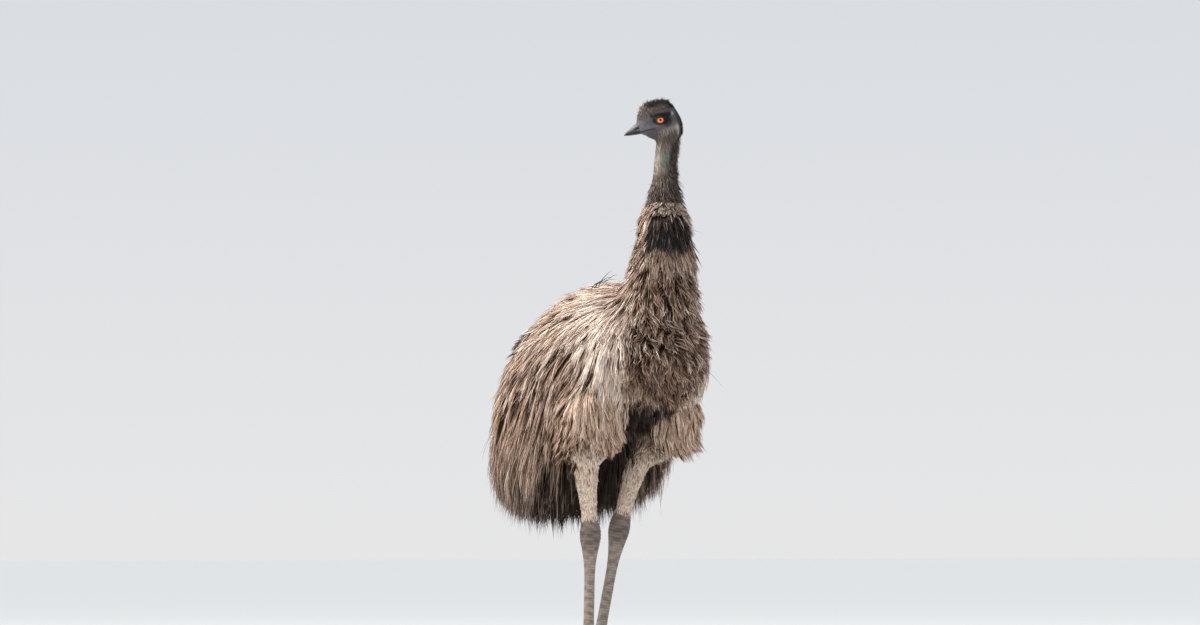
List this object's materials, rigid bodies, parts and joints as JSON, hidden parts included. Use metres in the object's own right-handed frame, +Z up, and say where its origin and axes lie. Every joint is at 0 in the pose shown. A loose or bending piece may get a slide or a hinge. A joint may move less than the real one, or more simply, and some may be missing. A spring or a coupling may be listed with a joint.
{
  "type": "emu",
  "caption": "Life-size standing emu as a still display model: shaggy trunk, upright neck, head turned aside, scaled legs and toed feet.",
  "frame": {"origin": "on the floor, under the middle of the bird's box", "axes": "+Z up, -Y the way the trunk and feet face, +X the bird's left"},
  "size_m": [0.5592, 0.8884, 1.7333],
  "materials": {
    "plumage": "shaggy, hair-like feathers",
    "dark_plumage": "short bristly feathers",
    "skin": "bare wrinkled skin",
    "leg_scales": "dry scales",
    "bill_horn": "satin horn",
    "claw_horn": "worn horn",
    "eye": "wet gloss"
  },
  "bodies": {
    "root": {"trunk": "plumage", "tail": "plumage", "wing_R": "plumage", "wing_L": "plumage", "neck_lower": "plumage", "neck_upper": "dark_plumage", "head": "skin", "bill_upper": "bill_horn", "bill_lower": "bill_horn", "eye_R": "eye", "eye_L": "eye", "thigh_R": "plumage", "thigh_L": "plumage", "shank_R": "plumage", "shank_L": "plumage", "tarsus_R": "leg_scales", "tarsus_L": "leg_scales", "foot_R": "leg_scales", "foot_L": "leg_scales", "toe_inner_R": "leg_scales", "toe_middle_R": "leg_scales", "toe_outer_R": "leg_scales", "toe_inner_L": "leg_scales", "toe_middle_L": "leg_scales", "toe_outer_L": "leg_scales", "claw_inner_R": "claw_horn", "claw_middle_R": "claw_horn", "claw_outer_R": "claw_horn", "claw_inner_L": "claw_horn", "claw_middle_L": "claw_horn", "claw_outer_L": "claw_horn"}
  },
  "joints": []
}
